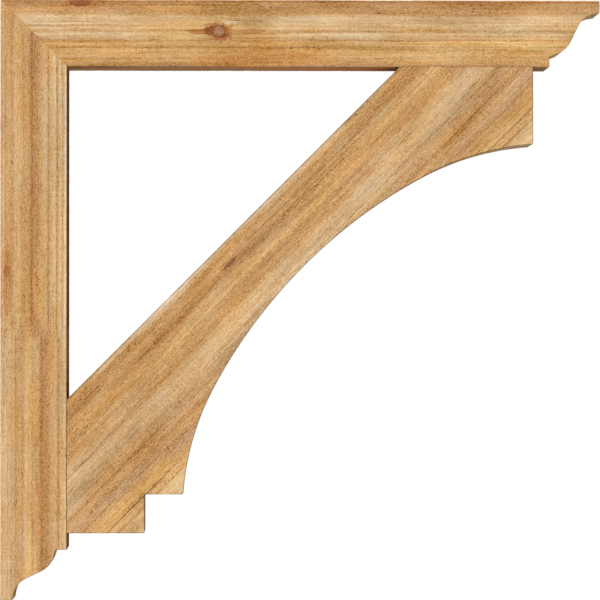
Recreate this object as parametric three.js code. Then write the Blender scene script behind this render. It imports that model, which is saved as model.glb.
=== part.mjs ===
// Wooden corbel bracket: a back member and a top member mitred at the corner,
// and a curved knee brace between them.
//
// Millimetres, +Z up. The wall face is the plane X = 0, the bracket reaches out along +X,
// and its width runs along Y. The origin is the centre of the wall face.

import * as THREE from 'three';

// Driving dimensions

const REACH = 812.8; // outer corner to the moulded tip, along either member: 32 inches
const TIMBER = 90.5; // depth of each member as seen from the side
const WIDTH = 90.5; // width of the whole bracket, all three pieces flush
const JOINT_GAP = 0.3; // hairline left between pieces that meet

// The ogee cut on the free end of a member. Each place is given as the distance back from
// the tip, then the distance in from the member's outer face.
const NOSE = 17.1; // square nose left above the ogee
const COVE_CORNER = [22.1, 20.9]; // where the two flats either side of the cove would cross
const COVE_RADIUS = 28.6;
const SWELL_CORNER = [45.8, 68.9]; // where the two flats either side of the swell would cross
const SWELL_RADIUS = 32.5;
const OGEE_FOOT = [68.3, 75.6]; // where the ogee ends, above a small square fillet

// The brace
const BRACE_LEG = 450; // inner corner to each end of the brace's straight edge
const BRACE_FOOT = 104.8; // length of the foot at both ends of the brace
const STEP = 52.4; // square step beside the lower foot
const CURVE_CROWN_RADIUS = 707; // flat middle of the three-centre curve
const CURVE_END_RADIUS = 366; // tighter arcs towards both of its ends
const CROWN_HALF_ANGLE = THREE.MathUtils.degToRad(16.4); // half the crown arc's opening angle

const OGEE_STEPS = 10; // straight facets in each arc of the ogee
const CROWN_STEPS = 16; // facets in the crown arc
const CURVE_END_STEPS = 14; // facets in each end arc

// Points along an arc, both ends included
function arcPoints(centre, radius, startAngle, endAngle, steps) {
  const points = [];
  for (let i = 0; i <= steps; i++) {
    const angle = startAngle + ((endAngle - startAngle) * i) / steps;
    points.push(
      new THREE.Vector2(
        centre.x + radius * Math.cos(angle),
        centre.y + radius * Math.sin(angle),
      ),
    );
  }
  return points;
}

// The arc that rounds a corner between two straight lines
function roundedCorner(before, corner, after, radius, steps) {
  const back = before.clone().sub(corner).normalize();
  const ahead = after.clone().sub(corner).normalize();
  const halfAngle = Math.acos(back.dot(ahead)) / 2;
  const bisector = back.clone().add(ahead).normalize();
  const centre = corner.clone().addScaledVector(bisector, radius / Math.sin(halfAngle));
  const tangentLength = radius / Math.tan(halfAngle);
  const start = corner.clone().addScaledVector(back, tangentLength).sub(centre);
  const end = corner.clone().addScaledVector(ahead, tangentLength).sub(centre);
  const turn = Math.atan2(start.cross(end), start.dot(end));
  return arcPoints(centre, radius, start.angle(), start.angle() + turn, steps);
}

// One moulded member, drawn as the top one lies: outer face along the top, mitre at the left,
// ogee at the right
function memberOutline() {
  const mitreShift = (JOINT_GAP / 2) * Math.SQRT2;
  const atTip = (place) => new THREE.Vector2(REACH - place[0], -place[1]);
  const nose = atTip([0, NOSE]);
  const cove = atTip(COVE_CORNER);
  const swell = atTip(SWELL_CORNER);
  const foot = atTip(OGEE_FOOT);
  return [
    new THREE.Vector2(mitreShift, 0),
    new THREE.Vector2(mitreShift + TIMBER, -TIMBER),
    new THREE.Vector2(foot.x, -TIMBER),
    foot,
    ...roundedCorner(foot, swell, cove, SWELL_RADIUS, OGEE_STEPS),
    ...roundedCorner(swell, cove, nose, COVE_RADIUS, OGEE_STEPS),
    nose,
    new THREE.Vector2(REACH, 0),
  ];
}

// The concave curve of the brace, from its upper right end to its lower left end. It is a
// three-centre arc, even about the 45 degree line through the middle of its chord.
function braceCurve(upperEnd, lowerEnd) {
  const middle = upperEnd.clone().add(lowerEnd).multiplyScalar(0.5);
  const halfChord = upperEnd.distanceTo(lowerEnd) / 2;
  const centreStep = CURVE_CROWN_RADIUS - CURVE_END_RADIUS;
  const sideways = centreStep * Math.sin(CROWN_HALF_ANGLE);
  const endRun = halfChord - sideways;
  const endRise = Math.sqrt(CURVE_END_RADIUS ** 2 - endRun ** 2);
  const endTurn = Math.asin(endRun / CURVE_END_RADIUS) - CROWN_HALF_ANGLE;

  const along = upperEnd.clone().sub(middle).normalize();
  const outward = new THREE.Vector2(-along.y, along.x);
  const crownDrop = centreStep * Math.cos(CROWN_HALF_ANGLE);
  const crownCentre = middle.clone().addScaledVector(outward, -endRise - crownDrop);
  const upperCentre = middle.clone().addScaledVector(outward, -endRise);
  upperCentre.addScaledVector(along, sideways);
  const lowerCentre = middle.clone().addScaledVector(outward, -endRise);
  lowerCentre.addScaledVector(along, -sideways);

  const crownAngle = outward.angle();
  const upperJoin = crownAngle - CROWN_HALF_ANGLE;
  const lowerJoin = crownAngle + CROWN_HALF_ANGLE;
  const upperArc = arcPoints(
    upperCentre,
    CURVE_END_RADIUS,
    upperJoin - endTurn,
    upperJoin,
    CURVE_END_STEPS,
  );
  const crownArc = arcPoints(crownCentre, CURVE_CROWN_RADIUS, upperJoin, lowerJoin, CROWN_STEPS);
  const lowerArc = arcPoints(
    lowerCentre,
    CURVE_END_RADIUS,
    lowerJoin,
    lowerJoin + endTurn,
    CURVE_END_STEPS,
  );
  return [...upperArc, ...crownArc.slice(1), ...lowerArc.slice(1)];
}

// The brace, drawn in place: it butts on the back member at the left and on the top member above
function braceOutline() {
  const inner = TIMBER + JOINT_GAP;
  const outer = REACH - TIMBER;
  const footEnd = TIMBER + BRACE_FOOT;
  const edgeEnd = TIMBER + BRACE_LEG;
  const upperEnd = new THREE.Vector2(outer, -footEnd);
  const lowerEnd = new THREE.Vector2(footEnd + STEP, -(outer - STEP));
  return [
    new THREE.Vector2(inner, -(edgeEnd - JOINT_GAP)),
    new THREE.Vector2(inner, -outer),
    new THREE.Vector2(footEnd, -outer),
    new THREE.Vector2(footEnd, lowerEnd.y),
    ...braceCurve(upperEnd, lowerEnd).reverse(),
    new THREE.Vector2(outer, -inner),
    new THREE.Vector2(edgeEnd - JOINT_GAP, -inner),
  ];
}

// An outline given the bracket's full width, centred on the drawing plane
function sawnPiece(name, outline, colour, roughness) {
  const shape = new THREE.Shape(outline);
  const geometry = new THREE.ExtrudeGeometry(shape, { depth: WIDTH, bevelEnabled: false });
  geometry.translate(0, 0, -WIDTH / 2);
  const material = new THREE.MeshStandardMaterial({ color: colour, roughness, metalness: 0 });
  const mesh = new THREE.Mesh(geometry, material);
  mesh.name = name;
  return mesh;
}

const topMember = sawnPiece('top_member', memberOutline(), 0xc8945f, 0.85);

// The back member is the same piece turned over about the line of the mitre
const backMember = sawnPiece('back_member', memberOutline(), 0xc49a6f, 0.85);
const mitreLine = new THREE.Vector3(1, -1, 0).normalize();
backMember.quaternion.setFromAxisAngle(mitreLine, Math.PI);

const brace = sawnPiece('brace', braceOutline(), 0xcb9d68, 0.85);

// The outlines are drawn flat with the outer corner at zero: stood upright, they come down by
// half the height, so that the centre of the wall face is the origin
const bracket = new THREE.Group();
bracket.add(backMember, topMember, brace);
bracket.rotation.x = Math.PI / 2;
bracket.position.z = REACH / 2;

export default bracket;
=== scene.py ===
# %% [markdown]
# # Wooden corbel bracket
#
# The real bracket is carpentry: a back member that goes flat on a wall, a top member that
# carries the load, and a curved knee brace between them. All three are rough-sawn cedar, square
# and heavy, with hardly any finish but what the saw left. This lesson draws each piece as the
# carpenter would mark it out, gives it thickness, eases its edges, and then grows the wood:
# growth rings cut by the faces, a knot, end grain and saw marks.
#
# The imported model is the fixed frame. Everything below is fitted to it, in metres.

# %% Load the frame
import math

import bmesh
import bpy
from mathutils import Matrix, Vector, noise


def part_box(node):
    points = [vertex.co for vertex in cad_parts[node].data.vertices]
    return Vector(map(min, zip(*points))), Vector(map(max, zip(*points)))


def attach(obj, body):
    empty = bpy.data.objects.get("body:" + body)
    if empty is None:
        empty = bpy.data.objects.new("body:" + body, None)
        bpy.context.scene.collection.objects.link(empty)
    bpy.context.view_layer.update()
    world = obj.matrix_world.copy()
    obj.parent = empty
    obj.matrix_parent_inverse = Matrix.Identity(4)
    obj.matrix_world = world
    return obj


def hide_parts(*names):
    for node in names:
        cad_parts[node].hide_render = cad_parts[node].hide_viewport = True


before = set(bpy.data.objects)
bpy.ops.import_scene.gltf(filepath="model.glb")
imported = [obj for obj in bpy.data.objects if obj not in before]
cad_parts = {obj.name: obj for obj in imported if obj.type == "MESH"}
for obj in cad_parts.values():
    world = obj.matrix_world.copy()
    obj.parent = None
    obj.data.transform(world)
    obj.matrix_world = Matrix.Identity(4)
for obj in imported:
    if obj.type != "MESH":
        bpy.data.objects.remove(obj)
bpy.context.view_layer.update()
MM = 0.001

# %% [markdown]
# ## The sizes that everything hangs on
#
# The overall sizes are read from the frame, so the dressed pieces can't drift from the model.
# The moulding and the curve are the carpenter's own sizes, in millimetres, and are written once.

# %% Sizes from the frame
top_low, top_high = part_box("top_member")
back_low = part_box("back_member")[0]
REACH = top_high.x
TOP = top_high.z
BOTTOM = back_low.z
FRONT = top_low.y
WIDTH = top_high.y - top_low.y
TIMBER = top_high.z - top_low.z
INNER_Z = TOP - TIMBER

print(f"reach {REACH / MM:.1f} mm, timber {TIMBER / MM:.1f} mm, width {WIDTH / MM:.1f} mm")

# %% Sizes of the moulding and the brace
NOSE = 17.1 * MM
COVE_CORNER = (22.1 * MM, 20.9 * MM)
COVE_RADIUS = 28.6 * MM
SWELL_CORNER = (45.8 * MM, 68.9 * MM)
SWELL_RADIUS = 32.5 * MM
OGEE_FOOT = (68.3 * MM, 75.6 * MM)

BRACE_LEG = 450 * MM
BRACE_FOOT = 104.8 * MM
STEP = 52.4 * MM
CURVE_CROWN_RADIUS = 707 * MM
CURVE_END_RADIUS = 366 * MM
CROWN_HALF_ANGLE = math.radians(16.4)

print(f"ogee {OGEE_FOOT[0] / MM:.1f} mm long and {OGEE_FOOT[1] / MM:.1f} mm deep")
print(f"brace {BRACE_LEG / MM:.0f} mm along each member, step {STEP / MM:.1f} mm")

# %% [markdown]
# ## Camera
#
# The photograph looks straight at the side of the bracket from about five metres, through a
# long lens: the strips of inner face that show are only a few pixels wide, and they lead to a
# point a third of the way across and 50 mm below the middle. The camera stands opposite that
# point and turns by a degree and a half to centre the bracket, so the lens needs no shift.

# %% Camera
CAMERA_DISTANCE = 5.171
CAMERA_X = 0.275
CAMERA_Z = -0.050
AIM_DROP = 0.3 * MM
SENSOR = 36.0

wall_side = math.atan2(-CAMERA_X, CAMERA_DISTANCE)
tip_side = math.atan2(REACH - CAMERA_X, CAMERA_DISTANCE)
middle = (wall_side + tip_side) / 2
camera_place = Vector((CAMERA_X, FRONT - CAMERA_DISTANCE, CAMERA_Z))
aim = Vector((CAMERA_X + CAMERA_DISTANCE * math.tan(middle), FRONT, -AIM_DROP))
camera_data = bpy.data.cameras.new("camera")
camera_data.sensor_width = SENSOR
camera_data.lens = SENSOR / 2 / math.tan((tip_side - wall_side) / 2)
camera = bpy.data.objects.new("camera", camera_data)
camera.location = camera_place
camera.rotation_euler = (aim - camera_place).to_track_quat("-Z", "Y").to_euler()
bpy.context.scene.collection.objects.link(camera)
bpy.context.scene.camera = camera

print(f"lens {camera_data.lens:.1f} mm")

# %% [markdown]
# ## Marking out
#
# A carpenter marks the outline on the side of the timber with a square and a compass, and saws
# to the line. The pen here does the same: it moves in straight lines, or it spins a point about
# a centre, which is what a compass does. Spinning keeps every arc true, with no list of points.

# %% A pen that draws in the plane of the front face
ARC_STEP = 2.5 * MM
FEWEST_STEPS = 3


def start_pen(bm, place):
    """Sets the pen down; the trail is the list of points that it leaves."""
    return [bm.verts.new((place[0], FRONT, place[1]))]


def line_to(bm, trail, place):
    """Draws a straight line to a place, given as its X and Z."""
    point = bm.verts.new((place[0], FRONT, place[1]))
    bm.edges.new((trail[-1], point))
    trail.append(point)


def spin_about(bm, trail, centre, turn):
    """Swings the pen about a centre, by a turn that is positive anticlockwise."""
    pen = trail[-1]
    radius = (pen.co - Vector((centre[0], FRONT, centre[1]))).length
    steps = max(FEWEST_STEPS, round(abs(turn) * radius / ARC_STEP))
    before = set(bm.verts)
    bmesh.ops.spin(
        bm,
        geom=[pen],
        cent=(centre[0], FRONT, centre[1]),
        axis=(0, -1, 0),
        angle=turn,
        steps=steps,
    )
    fresh = [v for v in bm.verts if v not in before]
    # The new points come in no promised order, so the nearest one is always taken next.
    while fresh:
        step = min(fresh, key=lambda v: (v.co - trail[-1].co).length)
        fresh.remove(step)
        trail.append(step)


# %% A rounded corner between two straight cuts
def rounded_corner(before, corner, after, radius):
    """Gives the arc's start, centre and turn."""
    before, corner, after = Vector(before), Vector(corner), Vector(after)
    back = (before - corner).normalized()
    ahead = (after - corner).normalized()
    half = back.angle(ahead) / 2
    centre = corner + (back + ahead).normalized() * radius / math.sin(half)
    start = corner + back * radius / math.tan(half)
    end = corner + ahead * radius / math.tan(half)
    turn = (end - centre).angle_signed(start - centre)
    return start, centre, turn


# %% [markdown]
# ## From outline to timber
#
# The outline becomes one face, and the face is extruded by the width of the stock. Corners that
# stand out get a small eased arris, which is what catches the light along the top and the left
# edge of the real one. The brace's arrises are eased a little more, and have gone dark. Inside
# corners and the faces of the joints stay as sharp as the saw left them, so the mitre and the
# butt joints close to a hairline. A Bevel modifier would ease every sharp edge alike, so the
# edges are picked out first and bevelled in the mesh.

# %% Give the outline its thickness
def thicken(bm, trail):
    """Closes the outline, fills it and gives it the width of the stock."""
    bm.edges.new((trail[-1], trail[0]))
    made = bmesh.ops.contextual_create(bm, geom=bm.edges[:])
    raised = bmesh.ops.extrude_face_region(bm, geom=made["faces"])
    far_side = [v for v in raised["geom"] if isinstance(v, bmesh.types.BMVert)]
    bmesh.ops.translate(bm, verts=far_side, vec=(0, WIDTH, 0))
    bmesh.ops.recalc_face_normals(bm, faces=bm.faces)


# %% Ease the arrises
ARRIS = 0.7 * MM
BRACE_ARRIS = 1.1 * MM
ARRIS_SEGMENTS = 2
SHARP_CORNER = math.radians(25)
NEAR_PLANE = 0.2 * MM


def on_plane(place, plane):
    """Tells whether a place lies in a plane, which is a point and a normal."""
    point, normal = plane
    return abs((place - point).dot(normal)) < NEAR_PLANE


def ease_arrises(bm, joints, size=ARRIS):
    """Bevels the outside corners, but not those that lie in the plane of a joint."""
    corners = []
    for edge in bm.edges:
        in_joint = any(all(on_plane(v.co, joint) for v in edge.verts) for joint in joints)
        if edge.calc_face_angle_signed() > SHARP_CORNER and not in_joint:
            corners.append(edge)
    bmesh.ops.bevel(
        bm,
        geom=corners,
        offset=size,
        affect="EDGES",
        segments=ARRIS_SEGMENTS,
        profile=0.5,
        material=-1,
    )


# %% [markdown]
# ## Saw-rough surfaces
#
# Nothing on a rough-sawn timber is quite flat. The blade wanders, leaves faint ripples across
# the grain, and tears the arrises here and there. To hold that in the mesh, each piece is
# sliced into small cells, first across the grain and then along it, and each corner of a cell
# is pressed in by a fraction of a millimetre. It is only ever pressed in, so the timber never
# grows past its real size. Displacement in the material would look the same in a picture, but
# it is lost when a piece is passed on as a mesh.

# %% Slice a piece into small cells
CELL_ALONG = 3.0 * MM
CELL_ACROSS = 5.0 * MM
SNAP = 1e-6


def slice_up(bm, direction, spacing):
    """Cuts the mesh with even planes that all face one direction."""
    reaches = [v.co.dot(direction) for v in bm.verts]
    first, last = min(reaches), max(reaches)
    count = math.ceil((last - first) / spacing)
    for i in range(1, count):
        bmesh.ops.bisect_plane(
            bm,
            geom=bm.verts[:] + bm.edges[:] + bm.faces[:],
            dist=SNAP,
            plane_co=direction * (first + (last - first) * i / count),
            plane_no=direction,
        )


# %% How deep the saw's marks are, and their sizes along, across and through
UNEVEN = 0.22 * MM
RIPPLE = 0.10 * MM
TORN_ARRIS = 0.6 * MM
UNEVEN_SIZE = (70, 18, 18)
RIPPLE_SIZE = (5, 60, 60)
TEAR_SIZE = (9, 7, 7)
TEAR_POWER = 1.5
CREASE = math.radians(15)


# %% Press the surface in, as the saw left it
def waver(place, size, shift):
    """Noise from -1 to 1, whose waves are size millimetres along, across and through."""
    return noise.noise(Vector([p / s for p, s in zip(place, size)]) + shift)


def press_in(bm, board, joints, seed):
    """Moves each point inwards by its own small amount."""
    shift = Vector((0, 0, seed))
    bm.normal_update()
    moves = []
    for v in bm.verts:
        place = (board @ v.co) / MM
        uneven = waver(place, UNEVEN_SIZE, shift)
        ripple = waver(place, RIPPLE_SIZE, shift)
        depth = UNEVEN * (0.5 + 0.5 * uneven) + RIPPLE * (0.5 + 0.5 * ripple)
        angles = [e.calc_face_angle(0) for e in v.link_edges]
        if max(angles) > CREASE:
            torn = waver(place, TEAR_SIZE, -shift)
            depth += TORN_ARRIS * max(0, torn) ** TEAR_POWER
        push = -v.normal * depth
        for point, normal in joints:
            if on_plane(v.co, (point, normal)):
                push -= normal * push.dot(normal)
        moves.append((v, push))
    for v, push in moves:
        v.co += push


# %% [markdown]
# ## A board has its own directions
#
# Wood is described along the grain, across the face and through the thickness. Each piece gets
# a matrix that turns a place in the bracket into a place in its board, in the same order. The
# mesh uses it to lay the saw marks, and the material uses the same turn in its Mapping node, so
# that the relief and the figure belong together.

# %% The directions of a board
def board_matrix(grain, across, edge):
    """Rows are along, across and through; the edge is where across starts."""
    grain, across = Vector(grain).normalized(), Vector(across).normalized()
    through = grain.cross(across)
    turn = Matrix((grain, across, through))
    return turn.to_4x4() @ Matrix.Translation(-Vector(edge))


OUTER_CORNER = Vector((0, 0, TOP))
INNER_CORNER = Vector((TIMBER, 0, INNER_Z))
BRACE_EDGE = INNER_CORNER - Vector((0, 0, BRACE_LEG))

BOARDS = {
    "top_member": board_matrix((1, 0, 0), (0, 0, -1), OUTER_CORNER),
    "back_member": board_matrix((0, 0, -1), (1, 0, 0), OUTER_CORNER),
    "brace": board_matrix((1, 0, 1), (1, 0, -1), BRACE_EDGE),
}

for name, matrix in BOARDS.items():
    print(name, "runs along", [round(v, 3) for v in matrix[0][:3]])

# %% The planes where pieces meet
MITRE = (OUTER_CORNER, Vector((1, 0, 1)).normalized())
ON_BACK = (INNER_CORNER, Vector((1, 0, 0)))
ON_TOP = (INNER_CORNER, Vector((0, 0, 1)))

print("the members meet on the plane that faces", [round(v, 3) for v in MITRE[1]])


# %% Finish a piece and seat it in the frame
def seat(bm, name, joints, seed):
    """Roughens a piece, makes it an object and puts it in the place of its plain solid."""
    slices = BOARDS[name].to_3x3()
    slice_up(bm, slices[0], CELL_ALONG)
    slice_up(bm, slices[1], CELL_ACROSS)
    slice_up(bm, slices[2], CELL_ACROSS)
    press_in(bm, BOARDS[name], joints, seed)
    mesh = bpy.data.meshes.new(name + "_sawn")
    bm.to_mesh(mesh)
    open_edges = sum(1 for e in bm.edges if not e.is_manifold)
    bm.free()
    mesh.shade_smooth()
    mesh.set_sharp_from_angle(angle=CREASE)
    piece = bpy.data.objects.new(name + "_sawn", mesh)
    bpy.context.scene.collection.objects.link(piece)
    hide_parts(name)
    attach(piece, "root")
    triangles = sum(len(p.vertices) - 2 for p in mesh.polygons)
    print(f"{piece.name}: {triangles} triangles, {open_edges} open edges")
    return piece


# %% [markdown]
# ## The two moulded members
#
# The top member and the back member are one and the same cut piece: a mitre at one end and an
# ogee at the other. An ogee is a hollow, here the cove, flowing into a swell. The carpenter saws
# it on a band saw, so it is drawn as straight cuts with two rounded corners. The second piece is
# the first one turned over about the line of the mitre.

# %% Draw a moulded member
def moulded_member():
    """Draws the top member, as it lies."""

    def at_tip(place):
        return (REACH - place[0], TOP - place[1])

    nose, foot = at_tip((0, NOSE)), at_tip(OGEE_FOOT)
    cove, swell = at_tip(COVE_CORNER), at_tip(SWELL_CORNER)
    cove_start, cove_centre, cove_turn = rounded_corner(nose, cove, swell, COVE_RADIUS)
    swell_start, swell_centre, swell_turn = rounded_corner(cove, swell, foot, SWELL_RADIUS)

    bm = bmesh.new()
    trail = start_pen(bm, (0, TOP))
    line_to(bm, trail, (REACH, TOP))
    line_to(bm, trail, nose)
    line_to(bm, trail, cove_start)
    spin_about(bm, trail, cove_centre, cove_turn)
    line_to(bm, trail, swell_start)
    spin_about(bm, trail, swell_centre, swell_turn)
    line_to(bm, trail, foot)
    line_to(bm, trail, (foot[0], INNER_Z))
    line_to(bm, trail, (TIMBER, INNER_Z))
    thicken(bm, trail)
    ease_arrises(bm, [MITRE])
    return bm


# %% The top member
top_member = seat(moulded_member(), "top_member", [MITRE], seed=11)

# %% The back member, turned over about the mitre
turned = moulded_member()
mitre_line = Vector((1, 0, -1))
bmesh.ops.rotate(
    turned,
    verts=turned.verts,
    cent=OUTER_CORNER,
    matrix=Matrix.Rotation(math.pi, 3, mitre_line),
)
back_member = seat(turned, "back_member", [MITRE], seed=23)

# %% [markdown]
# ## The knee brace
#
# The brace is one wide board set at 45 degrees, its upper edge straight and its lower edge cut
# to a curve. The curve is flatter in the middle than at its ends, as a batten bends, and three
# arcs that share their tangents give exactly that. Beside the lower foot is a square step.

# %% The three centres of the curve
def curve_centres(upper_end, lower_end):
    """Gives the upper, middle and lower centres, and the turn of an end arc."""
    middle = (upper_end + lower_end) / 2
    along = (upper_end - middle).normalized()
    outward = Vector((-along.y, along.x))
    step = CURVE_CROWN_RADIUS - CURVE_END_RADIUS
    sideways = step * math.sin(CROWN_HALF_ANGLE)
    end_run = (upper_end - middle).length - sideways
    end_rise = math.sqrt(CURVE_END_RADIUS**2 - end_run**2)
    end_turn = math.asin(end_run / CURVE_END_RADIUS) - CROWN_HALF_ANGLE
    ends_level = middle - outward * end_rise
    crown = ends_level - outward * step * math.cos(CROWN_HALF_ANGLE)
    return ends_level + along * sideways, crown, ends_level - along * sideways, end_turn


# %% Draw the brace
def knee_brace():
    """Draws the brace in its place, starting where its straight edge leaves the back member."""
    outer = REACH - TIMBER
    foot_end = TIMBER + BRACE_FOOT
    step_z = TOP - outer + STEP
    upper_end = Vector((outer, TOP - foot_end))
    lower_end = Vector((foot_end + STEP, step_z))
    upper, crown, lower, end_turn = curve_centres(upper_end, lower_end)

    bm = bmesh.new()
    trail = start_pen(bm, (TIMBER, INNER_Z - BRACE_LEG))
    line_to(bm, trail, (TIMBER + BRACE_LEG, INNER_Z))
    line_to(bm, trail, (outer, INNER_Z))
    line_to(bm, trail, upper_end)
    spin_about(bm, trail, upper, end_turn)
    spin_about(bm, trail, crown, 2 * CROWN_HALF_ANGLE)
    spin_about(bm, trail, lower, end_turn)
    line_to(bm, trail, (foot_end, step_z))
    line_to(bm, trail, (foot_end, TOP - outer))
    line_to(bm, trail, (TIMBER, TOP - outer))
    thicken(bm, trail)
    ease_arrises(bm, [ON_BACK, ON_TOP], BRACE_ARRIS)
    return bm


brace = seat(knee_brace(), "brace", [ON_BACK, ON_TOP], seed=37)

# %% [markdown]
# ## Growing the wood
#
# Western red cedar, rough sawn and unfinished: straw and honey coloured, with browner bands of
# latewood, a dry matt surface and no varnish. The board is a slice out of a trunk, so its
# figure is the distance from the trunk's centre, the pith. Measuring that distance in the
# material cuts the same rings on every face: straight bands on the side, broader ones on top,
# and arcs on the end grain. The pith is set level with the front face, so that there a band's
# place is simply its distance across the board.

# %% Colours
PALETTE = {
    "umber": "a97445",
    "tan": "b68655",
    "latewood": "8f6035",
    "toffee": "c0905c",
    "biscuit": "c99c67",
    "honey": "cf9f62",
    "amber": "d6a76a",
    "gold": "deb074",
    "sand": "cfa878",
    "straw": "d4b082",
    "cream": "dcb988",
    "bone": "ecd0a4",
    "olive": "c09b6c",
    "dun": "c2976a",
    "line": "b78b52",
}


def linear(hex_colour):
    """Turns an sRGB hex value into the linear colour that a shader works in."""
    values = [int(hex_colour[i : i + 2], 16) / 255 for i in (0, 2, 4)]
    return [v / 12.92 if v <= 0.04045 else ((v + 0.055) / 1.055) ** 2.4 for v in values] + [1]


# %% The bands of each board, in millimetres across from its outer or upper edge
# The cream stop at 0 on the top and back members lies on the outer arris: partly band colour,
# partly a painted highlight.
TOP_BANDS = [
    (0, "cream"), (0.9, "sand"), (1.4, "umber"), (2.8, "umber"), (4.5, "tan"), (9, "toffee"),
    (18, "toffee"), (20.5, "biscuit"), (23, "straw"), (31, "straw"), (33, "cream"),
    (35.5, "sand"), (38, "cream"), (42, "biscuit"), (45, "straw"), (47.5, "cream"),
    (50.5, "sand"), (53, "sand"), (54.8, "toffee"), (57.5, "gold"), (61.5, "amber"),
    (64, "line"), (67, "amber"), (69.5, "amber"), (72, "honey"), (75.5, "amber"),
    (79, "biscuit"), (83, "honey"), (87, "toffee"), (90.5, "tan"), (100, "toffee"),
    (108, "sand"),
]
# Above the jog, where these bands lie 13.5 mm aside, bone at 102 is a painted highlight along
# the inner arris, and latewood from 104.6 on is painted shade on the inner face.
BACK_BANDS = [
    (0, "cream"), (1.5, "sand"), (13, "sand"), (15.8, "biscuit"), (18.4, "sand"),
    (21, "toffee"), (23, "biscuit"), (26.5, "biscuit"), (29.7, "toffee"), (34, "sand"),
    (40, "amber"), (44, "biscuit"), (50, "biscuit"), (53, "toffee"), (56, "umber"),
    (58, "tan"), (62, "tan"), (66, "toffee"), (69, "biscuit"), (75, "sand"), (77, "biscuit"),
    (79, "line"), (81.5, "sand"), (84.5, "sand"), (87.5, "cream"), (90.2, "line"),
    (92.5, "sand"), (95.5, "cream"), (98, "olive"), (102, "bone"), (104.6, "latewood"),
    (122, "tan"),
]
BRACE_BANDS = [
    (5, "straw"), (7.5, "sand"), (11, "toffee"), (15.5, "biscuit"), (20.5, "biscuit"),
    (28, "toffee"), (34.5, "tan"), (39, "biscuit"), (47, "biscuit"), (50.5, "amber"),
    (56, "biscuit"), (61, "toffee"), (64, "biscuit"), (69, "toffee"), (74, "biscuit"),
    (79, "sand"), (98, "sand"), (107, "olive"), (119, "dun"), (124.5, "biscuit"),
    (131, "tan"), (137, "biscuit"), (145, "dun"), (154, "dun"), (161, "biscuit"),
    (174, "amber"), (178.4, "amber"), (179.4, "latewood"), (180.4, "sand"), (188.8, "amber"),
    (189.9, "umber"), (191, "straw"),
]

for bands in (TOP_BANDS, BACK_BANDS, BRACE_BANDS):
    print(f"{len(bands)} bands over {bands[-1][0] - bands[0][0]} mm")

# %% [markdown]
# ## A helper for nodes
#
# One function adds any node: its kind, its settings, and what goes into its sockets, which is
# either a plain value or another node's output. It gives back an output, so that nodes can be
# strung together as they are read.

# %% Add a node
def add(tree, kind, sockets=None, output=0, **settings):
    """Adds a node and gives back one of its outputs, by number or by name."""
    node = tree.nodes.new("ShaderNode" + kind)
    for name, value in settings.items():
        setattr(node, name, value)
    for name, value in (sockets or {}).items():
        if isinstance(value, bpy.types.NodeSocket):
            tree.links.new(value, node.inputs[name])
        else:
            node.inputs[name].default_value = value
    return node.outputs[output] if node.outputs else None


# %% [markdown]
# ## Features at their real sizes
#
# Everything on the face of the board is a size in millimetres: how far it runs along the grain,
# and how wide it is across it. Noise stretched to that size gives streaks, fibres and saw
# marks, and an ellipse with a ragged edge gives the spots that are one of a kind.

# %% Noise stretched to a size
def grain_noise(tree, place, size, detail=0.0, seed=0.0):
    """Noise whose patches are size millimetres along, across and through the board."""
    spread = add(
        tree,
        "VectorMath",
        {0: place, 1: [1 / s for s in size], 2: [seed] * 3},
        operation="MULTIPLY_ADD",
    )
    return add(tree, "TexNoise", {"Vector": spread, "Scale": 1.0, "Detail": detail})


# %% A ragged spot
SPOT_RAG = (5, 2.5, 2.5)
SPOT_OUTSIDE = 1.25
SPOT_INSIDE = 0.75


def spot(tree, place, centre, size, ragged):
    """Is 1 inside an ellipse and 0 outside it; the centre and size are in millimetres."""
    scaled = add(
        tree,
        "VectorMath",
        {0: place, 1: [1 / s for s in size], 2: [-c / s for c, s in zip(centre, size)]},
        operation="MULTIPLY_ADD",
    )
    reach = add(tree, "VectorMath", {0: scaled}, output="Value", operation="LENGTH")
    rag = grain_noise(tree, place, SPOT_RAG, detail=1)
    rag = add(tree, "Math", {0: rag, 1: ragged, 2: -ragged / 2}, operation="MULTIPLY_ADD")
    edge = add(tree, "Math", {0: reach, 1: rag}, operation="ADD")
    return add(
        tree,
        "MapRange",
        {"Value": edge, "From Min": SPOT_OUTSIDE, "From Max": SPOT_INSIDE},
        interpolation_type="SMOOTHSTEP",
    )


# %% Where a place in the bracket lies in its board
def board_place(tree, board):
    """Gives millimetres along, across and through the board."""
    matrix = BOARDS[board]
    return add(
        tree,
        "Mapping",
        {
            "Vector": add(tree, "TexCoord", output="Object"),
            "Location": matrix.translation / MM,
            "Rotation": matrix.to_3x3().to_euler("XYZ"),
            "Scale": [1 / MM] * 3,
        },
    )


# %% [markdown]
# ## Growth rings
#
# The rings sway a little along the trunk, and they swing round a knot, because the knot is a
# branch that the trunk grew round. Both are done by moving the place before its distance from
# the pith is taken.

# %% The grain swings round a knot
KNOT_BULGE = 0.75
KNOT_REACH = 26.0


def round_knot(tree, place, knot, sway):
    """Adds what the knot pushes aside to the sway of the rings."""
    offset = add(tree, "VectorMath", {0: place, 1: knot}, operation="SUBTRACT")
    reach = add(tree, "VectorMath", {0: offset}, output="Value", operation="LENGTH")
    pull = add(
        tree,
        "MapRange",
        {"Value": reach, "From Min": KNOT_REACH, "From Max": 0, "To Max": -KNOT_BULGE},
        interpolation_type="SMOOTHSTEP",
    )
    sideways = add(tree, "SeparateXYZ", {0: offset}, output=1)
    return add(tree, "Math", {0: sideways, 1: pull, 2: sway}, operation="MULTIPLY_ADD")


# %% How far a place is across the rings
PITH_DISTANCE = 260.0
SWAYS = [((190, 60, 60), 3.2), ((36, 12, 12), 1.0)]


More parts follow.
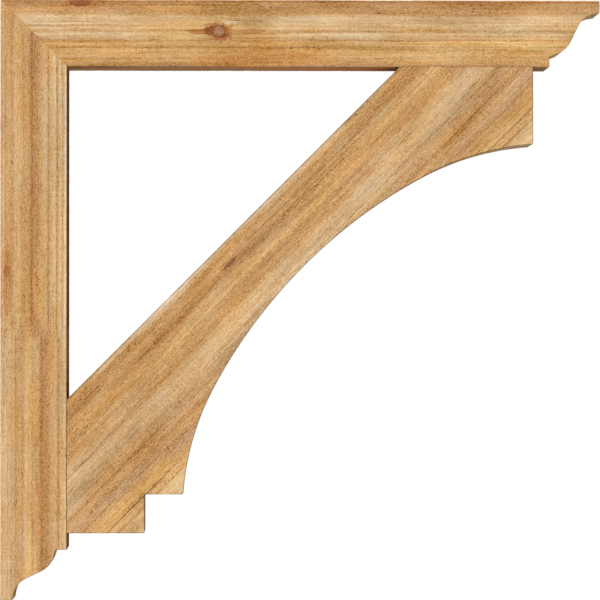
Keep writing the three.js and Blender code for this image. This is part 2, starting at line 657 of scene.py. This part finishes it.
def across_rings(tree, place, board, figure, knots, seed):
    """The distance from the pith; figure is how lively the grain is, straight being 0."""
    front = (BOARDS[board] @ Vector((0, FRONT, 0))).z / MM
    sway = 0.0
    for size, strength in SWAYS:
        part = grain_noise(tree, place, size, detail=1, seed=seed)
        part = add(tree, "Math", {0: part, 1: 0.5}, operation="SUBTRACT")
        strength *= figure
        sway = add(tree, "Math", {0: part, 1: strength, 2: sway}, operation="MULTIPLY_ADD")
    for knot in knots:
        sway = round_knot(tree, place, knot, sway)
    moved = add(tree, "CombineXYZ", {1: sway})
    grown = add(tree, "VectorMath", {0: place, 1: moved}, operation="ADD")
    from_pith = add(
        tree,
        "VectorMath",
        {0: grown, 1: [0, 1, 1], 2: [0, PITH_DISTANCE, -front]},
        operation="MULTIPLY_ADD",
    )
    ring = add(tree, "VectorMath", {0: from_pith}, output="Value", operation="LENGTH")
    return add(tree, "Math", {0: ring, 1: PITH_DISTANCE}, operation="SUBTRACT")


# %% Lay the bands along a colour ramp
def band_colour(tree, bands, across):
    """Gives the colour of the band that a place lies in."""
    reach = bands[-1][0]
    place = add(tree, "Math", {0: across, 1: reach}, operation="DIVIDE")
    colour = add(tree, "ValToRGB", {"Fac": place})
    stops = colour.node.color_ramp.elements
    while len(stops) < len(bands):
        stops.new(1.0)
    for stop, (distance, name) in zip(stops, bands):
        stop.position = distance / reach
        stop.color = linear(PALETTE[name])
    return colour


# %% [markdown]
# ## Tone
#
# Layers of noise lighten and darken the wood. Some of them grew: the slow mottling of the
# board, the fine lines that follow the rings and run on and on, the streaks a hand long, and
# thin dark lines of latewood. A straight-grained board has less of these than a lively one.
# The others were made by the blade: the fuzz of torn fibres, the pits and the saw marks. Fuzz
# is really a tenth of a millimetre fine; it is drawn at two millimetres so that it shows. Wood
# that is darker is also redder, so blue falls away faster than red.

# %% The layers: size along, across and through, detail, strength
MOTTLE = ((110, 26, 27), 2, 1.20)
FUZZ = ((2.2, 1.9, 1.9), 1, 1.12)
LINES = ((180, 1.9, 60), 2, 0.50)
STREAKS = ((50, 2.2, 4), 2, 0.50)
FIBRES = ((9, 1.7, 1.7), 1, 0.60)
LATEWOOD_DEPTH = 0.20
DARKER_IS_REDDER = [0.70, 0.99, 1.50]
SAW_STRENGTH = 0.40
PIT_DEPTH = 0.40


def layered(tree, tone, place, layer, seed):
    """Adds a layer of noise, taken about its middle, to a tone."""
    size, detail, strength = layer
    layer_noise = grain_noise(tree, place, size, detail, seed)
    layer_noise = add(tree, "Math", {0: layer_noise, 1: 0.5}, operation="SUBTRACT")
    return add(tree, "Math", {0: layer_noise, 1: strength, 2: tone}, operation="MULTIPLY_ADD")


# %% Brown wood tears more than pale wood
PALE_WOOD = 0.47
BROWN_WOOD = 0.29
PALE_TEARS = 0.6
BROWN_TEARS = 1.3


def tearing(tree, colour):
    """How strongly wood of this colour tears, going by its brightness."""
    brightness = add(tree, "RGBToBW", {0: colour})
    return add(
        tree,
        "MapRange",
        {
            "Value": brightness,
            "From Min": PALE_WOOD,
            "From Max": BROWN_WOOD,
            "To Min": PALE_TEARS,
            "To Max": BROWN_TEARS,
        },
    )


# %% Marks that lie thick in some places and are rare in others
def crowded(tree, marks, crowd, rarest, crowding, edge):
    """Is 1 on a mark; where marks are rare, it takes stronger noise to make one."""
    start = add(tree, "Math", {0: crowd, 1: -crowding, 2: rarest}, operation="MULTIPLY_ADD")
    end = add(tree, "Math", {0: start, 1: edge}, operation="ADD")
    return add(tree, "MapRange", {"Value": marks, "From Min": start, "From Max": end})


# %% Latewood lines
LATE_LINE = (240, 2.2, 90)
LATE_CROWD = (190, 20, 60)


def latewood(tree, ringed, seed):
    """Thin dark lines that run on along the rings."""
    # Each kind of mark adds its own number to the board's seed, so that no two fall in step.
    lines = grain_noise(tree, ringed, LATE_LINE, seed=seed + 6)
    crowd = grain_noise(tree, ringed, LATE_CROWD, detail=1, seed=seed + 8)
    return crowded(tree, lines, crowd, rarest=0.86, crowding=0.5, edge=0.09)


# %% Pits
PIT = (3.2, 2.1, 2.1)
PIT_CROWD = (60, 20, 20)


def pits(tree, place, seed):
    """Torn fibres: short dark specks."""
    specks = grain_noise(tree, place, PIT, detail=1, seed=seed + 9)
    crowd = grain_noise(tree, place, PIT_CROWD, detail=1, seed=seed + 3)
    return crowded(tree, specks, crowd, rarest=0.84, crowding=0.35, edge=0.1)


# %% Saw marks
SAW_LINE = (2.4, 30, 30)
SAW_PATCH = (75, 34, 34)
PATCH_STARTS = 0.42
PATCH_FULL = 0.62


def saw_marks(tree, place, seed):
    """Fine lines across the grain, in patches, where the blade chattered."""
    lines = grain_noise(tree, place, SAW_LINE, detail=1, seed=seed)
    lines = add(tree, "Math", {0: lines, 1: 0.5}, operation="SUBTRACT")
    patches = grain_noise(tree, place, SAW_PATCH, detail=1, seed=seed + 5)
    patches = add(
        tree,
        "MapRange",
        {"Value": patches, "From Min": PATCH_STARTS, "From Max": PATCH_FULL},
    )
    return add(tree, "Math", {0: lines, 1: patches}, operation="MULTIPLY")


# %% [markdown]
# ## The figure of one board
#
# On the back member and the brace the whole figure jogs sideways part of the way along, over a
# ragged stretch, as if the tree had leaned there. So the bands are laid twice, and one takes
# over from the other. On top of them lie the stains of this one board, and on the back member a
# strip of painted shade.

# %% Bands that jog sideways
JOG_RAG = 50.0
JOG_RAG_SIZE = (14, 5, 5)
JOG_BLUR = 12.0


def jogged_bands(tree, place, across, bands, jog, seed):
    """The bands, which lie to one side before the jog starts and after it ends."""
    if jog is None:
        return band_colour(tree, bands, across)
    aside, start, end = jog
    along = add(tree, "SeparateXYZ", {0: place}, output=0)
    rag = grain_noise(tree, place, JOG_RAG_SIZE, detail=1, seed=seed)
    rag = add(tree, "Math", {0: rag, 1: JOG_RAG, 2: -JOG_RAG / 2}, operation="MULTIPLY_ADD")
    ragged = add(tree, "Math", {0: along, 1: rag}, operation="ADD")
    inside = add(
        tree,
        "MapRange",
        {"Value": ragged, "From Min": start - JOG_BLUR, "From Max": start + JOG_BLUR},
    )
    beyond = add(
        tree,
        "MapRange",
        {"Value": ragged, "From Min": end - JOG_BLUR, "From Max": end + JOG_BLUR},
    )
    inside = add(tree, "Math", {0: inside, 1: beyond}, operation="SUBTRACT")
    shifted = add(tree, "Math", {0: across, 1: aside}, operation="ADD")
    return add(
        tree,
        "Mix",
        {0: inside, 6: band_colour(tree, bands, shifted), 7: band_colour(tree, bands, across)},
        output=2,
        data_type="RGBA",
    )


# %% Lay the stains, the knot and a strip of painted shade over the bands
def stains_and_painted_shade(tree, place, colour, spots):
    """The later spots lie on top of the earlier ones."""
    for centre, size, ragged, hex_colour, strength in spots:
        mask = spot(tree, place, centre, size, ragged)
        mask = add(tree, "Math", {0: mask, 1: strength}, operation="MULTIPLY")
        sockets = {0: mask, 6: colour, 7: linear(hex_colour)}
        colour = add(tree, "Mix", sockets, output=2, data_type="RGBA")
    return colour


# %% How light or dark the wood is, from what grew and what the blade did
def wood_tone(tree, place, ringed, colour, figure, seed):
    """The tone is about 0 on average; ringed is the place with the rings in it."""
    torn = layered(tree, 0.0, place, FUZZ, seed)
    pit = pits(tree, place, seed)
    torn = add(tree, "Math", {0: pit, 1: -PIT_DEPTH, 2: torn}, operation="MULTIPLY_ADD")
    torn = add(tree, "Math", {0: torn, 1: tearing(tree, colour)}, operation="MULTIPLY")
    grown = layered(tree, 0.0, place, MOTTLE, seed)
    grown = layered(tree, grown, ringed, LINES, seed)
    grown = layered(tree, grown, ringed, STREAKS, seed)
    late = latewood(tree, ringed, seed)
    grown = add(tree, "Math", {0: late, 1: -LATEWOOD_DEPTH, 2: grown}, operation="MULTIPLY_ADD")
    tone = add(tree, "Math", {0: grown, 1: figure, 2: torn}, operation="MULTIPLY_ADD")
    tone = layered(tree, tone, ringed, FIBRES, seed)
    saw = saw_marks(tree, place, seed)
    return add(tree, "Math", {0: saw, 1: SAW_STRENGTH, 2: tone}, operation="MULTIPLY_ADD")


# %% Patches that are redder or yellower
HUE_PATCH = (80, 14, 30)
HUE_SWING = [0.22, 0.0, -0.50]


def hue_tint(tree, ringed, seed):
    """Is 1 on average; red and blue swing to opposite sides of it."""
    hue = grain_noise(tree, ringed, HUE_PATCH, detail=1, seed=seed + 2)
    hue = add(tree, "Math", {0: hue, 1: 0.5}, operation="SUBTRACT")
    return add(
        tree, "VectorMath", {0: hue, 1: HUE_SWING, 2: [1, 1, 1]}, operation="MULTIPLY_ADD"
    )


# %% [markdown]
# ## Cut ends and arrises
#
# End grain is a bundle of open straws, so it drinks in light and dirt, and a cut end is darker
# than a face. An arris gets painted light and shade: one tint where it looks up or left, towards
# the key light, and another where it doesn't. On the two members the first is a warm painted
# highlight, and the second is painted shade on the back member and lightens the shaded arrises
# of the top member. On the brace both tints darken the arris. Ends and arrises are found from
# the way the surface faces, so no edge has to be painted by hand.

# %% Darker cut ends, with rays in them
END_GRAIN_TINT = [0.66, 0.57, 0.47]
END_STARTS = 0.5
END_FULL = 0.95
RAY = (300, 30, 1.8)
RAY_DARK = 0.30
RAY_PALE = 0.45
RAY_DEPTH = 0.55


def end_grain(tree, place, board, seed):
    """Is 1 on a face, and falls to the tint of the end grain on a cut end."""
    end_on = add(
        tree,
        "VectorMath",
        {0: add(tree, "TexCoord", output="Normal"), 1: BOARDS[board].to_3x3()[0]},
        output="Value",
        operation="DOT_PRODUCT",
    )
    end_on = add(tree, "Math", {0: end_on}, operation="ABSOLUTE")
    end_on = add(
        tree,
        "MapRange",
        {"Value": end_on, "From Min": END_STARTS, "From Max": END_FULL},
    )
    rays = grain_noise(tree, place, RAY, detail=1, seed=seed + 4)
    rays = add(
        tree,
        "MapRange",
        {"Value": rays, "From Min": RAY_DARK, "From Max": RAY_PALE, "To Min": RAY_DEPTH},
    )
    cut_end = add(
        tree, "VectorMath", {0: END_GRAIN_TINT, "Scale": rays}, operation="SCALE"
    )
    return add(
        tree, "Mix", {0: end_on, 6: [1, 1, 1, 1], 7: cut_end}, output=2, data_type="RGBA"
    )


# %% Arrises with painted highlight and painted shade
ARRIS_STARTS = 0.02
ARRIS_FULL = 0.10
LEAN_BLUR = 0.1


def painted_arris_tints(tree, lit_tint, shaded_tint):
    """Is 1 on a face; an arris looks partly to the side and partly up, down or along."""
    faces = add(tree, "TexCoord", output="Normal")
    sideways = add(tree, "SeparateXYZ", {0: faces}, output=1)
    sideways = add(tree, "Math", {0: sideways, 1: sideways}, operation="MULTIPLY")
    off_side = add(tree, "Math", {0: 1.0, 1: sideways}, operation="SUBTRACT")
    on_arris = add(tree, "Math", {0: sideways, 1: off_side}, operation="MULTIPLY")
    on_arris = add(
        tree,
        "MapRange",
        {"Value": on_arris, "From Min": ARRIS_STARTS, "From Max": ARRIS_FULL},
    )
    # Arrises that look up or left, towards the key light, take the lit tint and the others the
    # shaded tint: painted light and shade.
    lean = add(
        tree, "VectorMath", {0: faces, 1: [-1, 0, 1]}, output="Value", operation="DOT_PRODUCT"
    )
    lit = add(
        tree, "MapRange", {"Value": lean, "From Min": -LEAN_BLUR, "From Max": LEAN_BLUR}
    )
    arris_tint = add(
        tree, "Mix", {0: lit, 6: shaded_tint, 7: lit_tint}, output=2, data_type="RGBA"
    )
    return add(
        tree, "Mix", {0: on_arris, 6: [1, 1, 1, 1], 7: arris_tint}, output=2, data_type="RGBA"
    )


# %% [markdown]
# ## The cedar
#
# Now the layers are put together. They multiply the colour one after the other, as stains and
# shadows do. The tone also gives the bump and the roughness, since a speck is dark for the
# reason that it is deep. Dry wood has an IOR of about 1.45, and a sawn face scatters nearly all
# the light that falls on it, so it looks chalky in full light and never shines.

# %% A dry, dull surface, with the tone as its relief
ROUGHNESS = 0.84
SPECKS_ROUGHER = 0.15
BUMP_HEIGHT = 0.7 * MM
BUMP_STRENGTH = 0.8


def dull_surface(tree, colour, tone):
    """A dark speck is deeper and rougher than the wood about it."""
    roughness = add(
        tree, "Math", {0: tone, 1: -SPECKS_ROUGHER, 2: ROUGHNESS}, operation="MULTIPLY_ADD"
    )
    bump = add(
        tree, "Bump", {"Height": tone, "Distance": BUMP_HEIGHT, "Strength": BUMP_STRENGTH}
    )
    surface = add(
        tree,
        "BsdfPrincipled",
        {
            "Base Color": colour,
            "Roughness": roughness,
            "Normal": bump,
            "Specular IOR Level": 0.2,
            "IOR": 1.45,
        },
    )
    add(tree, "OutputMaterial", {"Surface": surface})


# %% Put the cedar together
def sawn_cedar(board, bands, jog, figure, arris, knots, spots, seed):
    """Makes the material of one board, from what is different about it."""
    material = bpy.data.materials.new("rough-sawn red cedar, " + board.replace("_", " "))
    material.use_nodes = True
    tree = material.node_tree
    tree.nodes.clear()

    place = board_place(tree, board)
    across = across_rings(tree, place, board, figure, knots, seed)
    along = add(tree, "SeparateXYZ", {0: place}, output=0)
    through = add(tree, "SeparateXYZ", {0: place}, output=2)
    ringed = add(tree, "CombineXYZ", {0: along, 1: across, 2: through})

    colour = jogged_bands(tree, place, across, bands, jog, seed)
    tone = wood_tone(tree, place, ringed, colour, figure, seed)
    shade = add(
        tree,
        "VectorMath",
        {0: tone, 1: DARKER_IS_REDDER, 2: [1, 1, 1]},
        operation="MULTIPLY_ADD",
    )
    colour = stains_and_painted_shade(tree, place, colour, spots)
    for tint in (
        shade,
        hue_tint(tree, ringed, seed),
        end_grain(tree, place, board, seed),
        painted_arris_tints(tree, *arris),
    ):
        colour = add(tree, "VectorMath", {0: colour, 1: tint}, operation="MULTIPLY")
    dull_surface(tree, colour, tone)
    print(f"{material.name}: {len(tree.nodes)} nodes")
    return material


# %% [markdown]
# ## The spots of each board
#
# The top member has the one sound knot: a mauve heart, a dark rim, a flame of stained wood on
# its left and a fainter flush on its right. Broad washes come first, where a board is yellower
# or paler than its bands, then smaller stains and a pin knot. The inner face of the back member
# gets a long dark strip of painted shade, down to its foot, where that face looks away from the
# light. Of two spots that overlap, the later one lies on top.

# %% Spots: centre, size, raggedness, colour, strength
FACE = WIDTH / 2 / MM  # from the middle of the width; the back member's board is turned over
DEEP = 60  # how far a stain goes into the wood
KNOT = (296, 42.6, -FACE)
TOP_SPOTS = [
    ((262, 30, -FACE), (100, 34, DEEP), 0.9, "b98338", 0.35),
    ((440, 14, -FACE), (80, 7, DEEP), 0.9, "a8743a", 0.35),
    ((640, 26, -FACE), (75, 7, DEEP), 0.9, "b38a58", 0.40),
    ((625, 15, -FACE), (45, 5, DEEP), 0.9, "d2a878", 0.40),
    ((660, 64, -FACE), (85, 8, DEEP), 0.9, "e6c083", 0.35),
    ((343, 78, -FACE), (85, 13, DEEP), 0.9, "c98a47", 0.45),
    ((349, 32, -FACE), (22, 9, DEEP), 0.9, "b08f60", 0.45),
    ((345, 50, -FACE), (32, 8, DEEP), 0.9, "bf8748", 0.45),
    ((307, 31.0, -FACE), (14, 2.4, DEEP), 0.7, "e6cda4", 0.65),
    ((313, 34.5, -FACE), (2.0, 4.2, DEEP), 1.3, "8f6b40", 0.45),
    ((247, 51, -FACE), (32, 7, DEEP), 0.9, "c8a767", 0.45),
    ((296, 58, -FACE), (20, 2, DEEP), 0.9, "dcb77e", 0.50),
    ((338, 42.8, -FACE), (19, 3.2, DEEP), 0.9, "ab6f42", 0.50),
    ((266, 42.0, -FACE), (22, 1.2, DEEP), 0.9, "8a5227", 0.65),
    ((273, 42.8, -FACE), (17, 3.6, DEEP), 0.9, "a05a24", 0.65),
    ((269, 45.3, -FACE), (14, 1.6, DEEP), 0.9, "b4713c", 0.70),
    ((295.2, 43.2, -FACE), (17.5, 12, DEEP), 1.1, "ac6428", 0.85),
    ((283.5, 41.0, -FACE), (8, 6.4, DEEP), 0.9, "7c441c", 0.75),
    ((304.5, 50.0, -FACE), (7.5, 4.0, DEEP), 1.0, "8a5220", 0.45),
    ((285, 33.6, -FACE), (11, 1.6, DEEP), 1.0, "8f5a2a", 0.45),
    ((296, 42.4, -FACE), (9.2, 9.4, DEEP), 0.45, "70422a", 0.80),
    ((295.6, 42.4, -FACE), (7.0, 7.2, DEEP), 0.50, "a77657", 0.95),
    ((108, 4, -FACE), (15, 5.5, DEEP), 0.9, "8a4522", 0.70),
]
BACK_SPOTS = [
    ((382, 10, FACE), (48, 6, 20), 0.9, "b87a40", 0.50),
    ((368.5, 9.5, FACE), (9, 4.5, 12), 0.9, "a5622f", 0.65),
    ((386, 51, FACE), (42, 7, 20), 0.9, "e0b47c", 0.40),
    # Painted shade: a long dark strip down the inner face of the back member, which looks away
    # from the key light.
    ((650, 91.6, 0), (330, 1.5, 150), 0.3, "85582f", 0.90),
]
BRACE_SPOTS = [
    ((455, 33, -FACE), (95, 9, DEEP), 0.9, "dcae76", 0.45),
    ((315, 99, -FACE), (145, 8, DEEP), 0.9, "dfbf96", 0.50),
    ((585, 155, -FACE), (42, 9, DEEP), 0.9, "dcb27c", 0.50),
    ((5, 46, -FACE), (90, 7, DEEP), 0.9, "dcb27a", 0.35),
    ((292, 25.0, -FACE), (26, 6.0, DEEP), 0.9, "b07a4c", 0.55),
    ((286, 25.6, -FACE), (13, 2.8, DEEP), 1.1, "7c4c2c", 0.75),
]

print(f"{len(TOP_SPOTS)} spots on the top member, {len(BACK_SPOTS)} on the back member")
print(f"{len(BRACE_SPOTS)} spots on the brace")

# %% Arris tints of painted light and shade, lit and shaded, and jogs: how far aside, start and end
# The top member's lit arrises get a warm painted highlight and its shaded ones are lightened;
# the back member's get a warm painted highlight and painted shade; the brace's are darkened on
# both sides.
TOP_ARRIS_PAINTED_LIGHT = ([1.3, 1.08, 0.60, 1], [1.2, 1.2, 1.1, 1])
BACK_ARRIS_PAINTED_LIGHT = ([1.04, 0.90, 0.56, 1], [0.3, 0.3, 0.3, 1])
BRACE_ARRIS_DARKENED = ([0.36, 0.33, 0.30, 1], [0.6, 0.6, 0.6, 1])
PAST_THE_END = 1000
BACK_JOG = (13.5, 450, PAST_THE_END)
BRACE_JOG = (12.8, 50, 520)

# %% Dress the top member
top_cedar = sawn_cedar(
    "top_member",
    TOP_BANDS,
    jog=None,
    figure=0.9,
    arris=TOP_ARRIS_PAINTED_LIGHT,
    knots=[KNOT],
    spots=TOP_SPOTS,
    seed=3,
)
top_member.data.materials.append(top_cedar)

# %% Dress the back member, whose grain is the straightest
back_cedar = sawn_cedar(
    "back_member",
    BACK_BANDS,
    jog=BACK_JOG,
    figure=0.45,
    arris=BACK_ARRIS_PAINTED_LIGHT,
    knots=[],
    spots=BACK_SPOTS,
    seed=7,
)
back_member.data.materials.append(back_cedar)

# %% Dress the brace
brace_cedar = sawn_cedar(
    "brace",
    BRACE_BANDS,
    jog=BRACE_JOG,
    figure=0.85,
    arris=BRACE_ARRIS_DARKENED,
    knots=[],
    spots=BRACE_SPOTS,
    seed=13,
)
brace.data.materials.append(brace_cedar)

# %% [markdown]
# ## Floor, light and background
#
# The bracket hangs in the air as if a wall held it, over a pale floor that fades out before it
# meets the white of the background. One broad soft light stands high on the left in front, as
# in the photograph: the top and left arrises catch it, the undersides go brown, and the faces
# that look right go darkest. A weaker light reaches the back, and a faint one the faces that
# look right, so that both can be read when they are looked at.

# %% Floor
FLOOR_DROP = 4.0
FLOOR_SIZE = 18.0
FLOOR_SEGMENTS = 96
FLOOR_SOLID = 4.5
FLOOR_GONE = FLOOR_SIZE * 0.95

floor_bm = bmesh.new()
bmesh.ops.create_circle(
    floor_bm,
    cap_ends=True,
    segments=FLOOR_SEGMENTS,
    radius=FLOOR_SIZE,
)
bmesh.ops.translate(floor_bm, verts=floor_bm.verts, vec=(aim.x, 0, BOTTOM - FLOOR_DROP))
floor_mesh = bpy.data.meshes.new("floor")
floor_bm.to_mesh(floor_mesh)
floor_bm.free()
floor = bpy.data.objects.new("floor", floor_mesh)
bpy.context.scene.collection.objects.link(floor)
print(f"floor {FLOOR_DROP} m below the bracket, gone {FLOOR_GONE:.1f} m from its middle")

# %% Paint the floor, and let it fade out
floor_material = bpy.data.materials.new("pale painted floor")
floor_material.use_nodes = True
tree = floor_material.node_tree
tree.nodes.clear()
from_middle = add(
    tree,
    "VectorMath",
    {0: add(tree, "TexCoord", output="Object"), 1: [1, 1, 0], 2: [-aim.x, 0, 0]},
    operation="MULTIPLY_ADD",
)
from_middle = add(tree, "VectorMath", {0: from_middle}, output="Value", operation="LENGTH")
fade = add(
    tree,
    "MapRange",
    {"Value": from_middle, "From Min": FLOOR_SOLID, "From Max": FLOOR_GONE},
    interpolation_type="SMOOTHSTEP",
)
paint = add(
    tree,
    "BsdfPrincipled",
    {"Base Color": linear("e9ebee"), "Roughness": 0.9, "Specular IOR Level": 0.1},
)
faded = add(tree, "MixShader", {0: fade, 1: paint, 2: add(tree, "BsdfTransparent")})
add(tree, "OutputMaterial", {"Surface": faded})
floor_mesh.materials.append(floor_material)

# %% Key light, and weaker ones for the back and the right: direction, strength, softness
SUNS = [
    ("soft key", (-0.58, -0.68, 0.44), 3.85, 24),
    ("soft back light", (-0.35, 0.90, 0.20), 1.7, 40),
    ("weak right light", (1.0, 0.0, 0.12), 0.45, 12),
]
for name, direction, strength, softness in SUNS:
    light = bpy.data.lights.new(name, "SUN")
    light.energy = strength
    light.angle = math.radians(softness)
    lamp = bpy.data.objects.new(name, light)
    lamp.rotation_euler = Vector(direction).to_track_quat("Z", "Y").to_euler()
    bpy.context.scene.collection.objects.link(lamp)
    print(f"{name}: {strength} W per square metre, {softness} degrees wide")

# %% White background, and a low fill that is weaker from the right
FILL_LEFT = 0.20
FILL_RIGHT = 0.02
FILL_SPAN = 0.6

world = bpy.data.worlds.new("studio")
world.use_nodes = True
bpy.context.scene.world = world
tree = world.node_tree
tree.nodes.clear()
sideways = add(tree, "SeparateXYZ", {0: add(tree, "TexCoord", output="Generated")})
strength = add(
    tree,
    "MapRange",
    {
        "Value": sideways,
        "From Min": -FILL_SPAN,
        "From Max": FILL_SPAN,
        "To Min": FILL_LEFT,
        "To Max": FILL_RIGHT,
    },
)
fill = add(tree, "Background", {"Color": linear("e8f0ff"), "Strength": strength})
white = add(tree, "Background", {"Color": (1, 1, 1, 1), "Strength": 1.0})
seen = add(tree, "LightPath", output="Is Camera Ray")
add(tree, "OutputWorld", {"Surface": add(tree, "MixShader", {0: seen, 1: fill, 2: white})})

bpy.context.scene.view_settings.view_transform = "Standard"
bpy.context.scene.view_settings.look = "None"
print(f"fill {FILL_LEFT} from the left, {FILL_RIGHT} from the right")
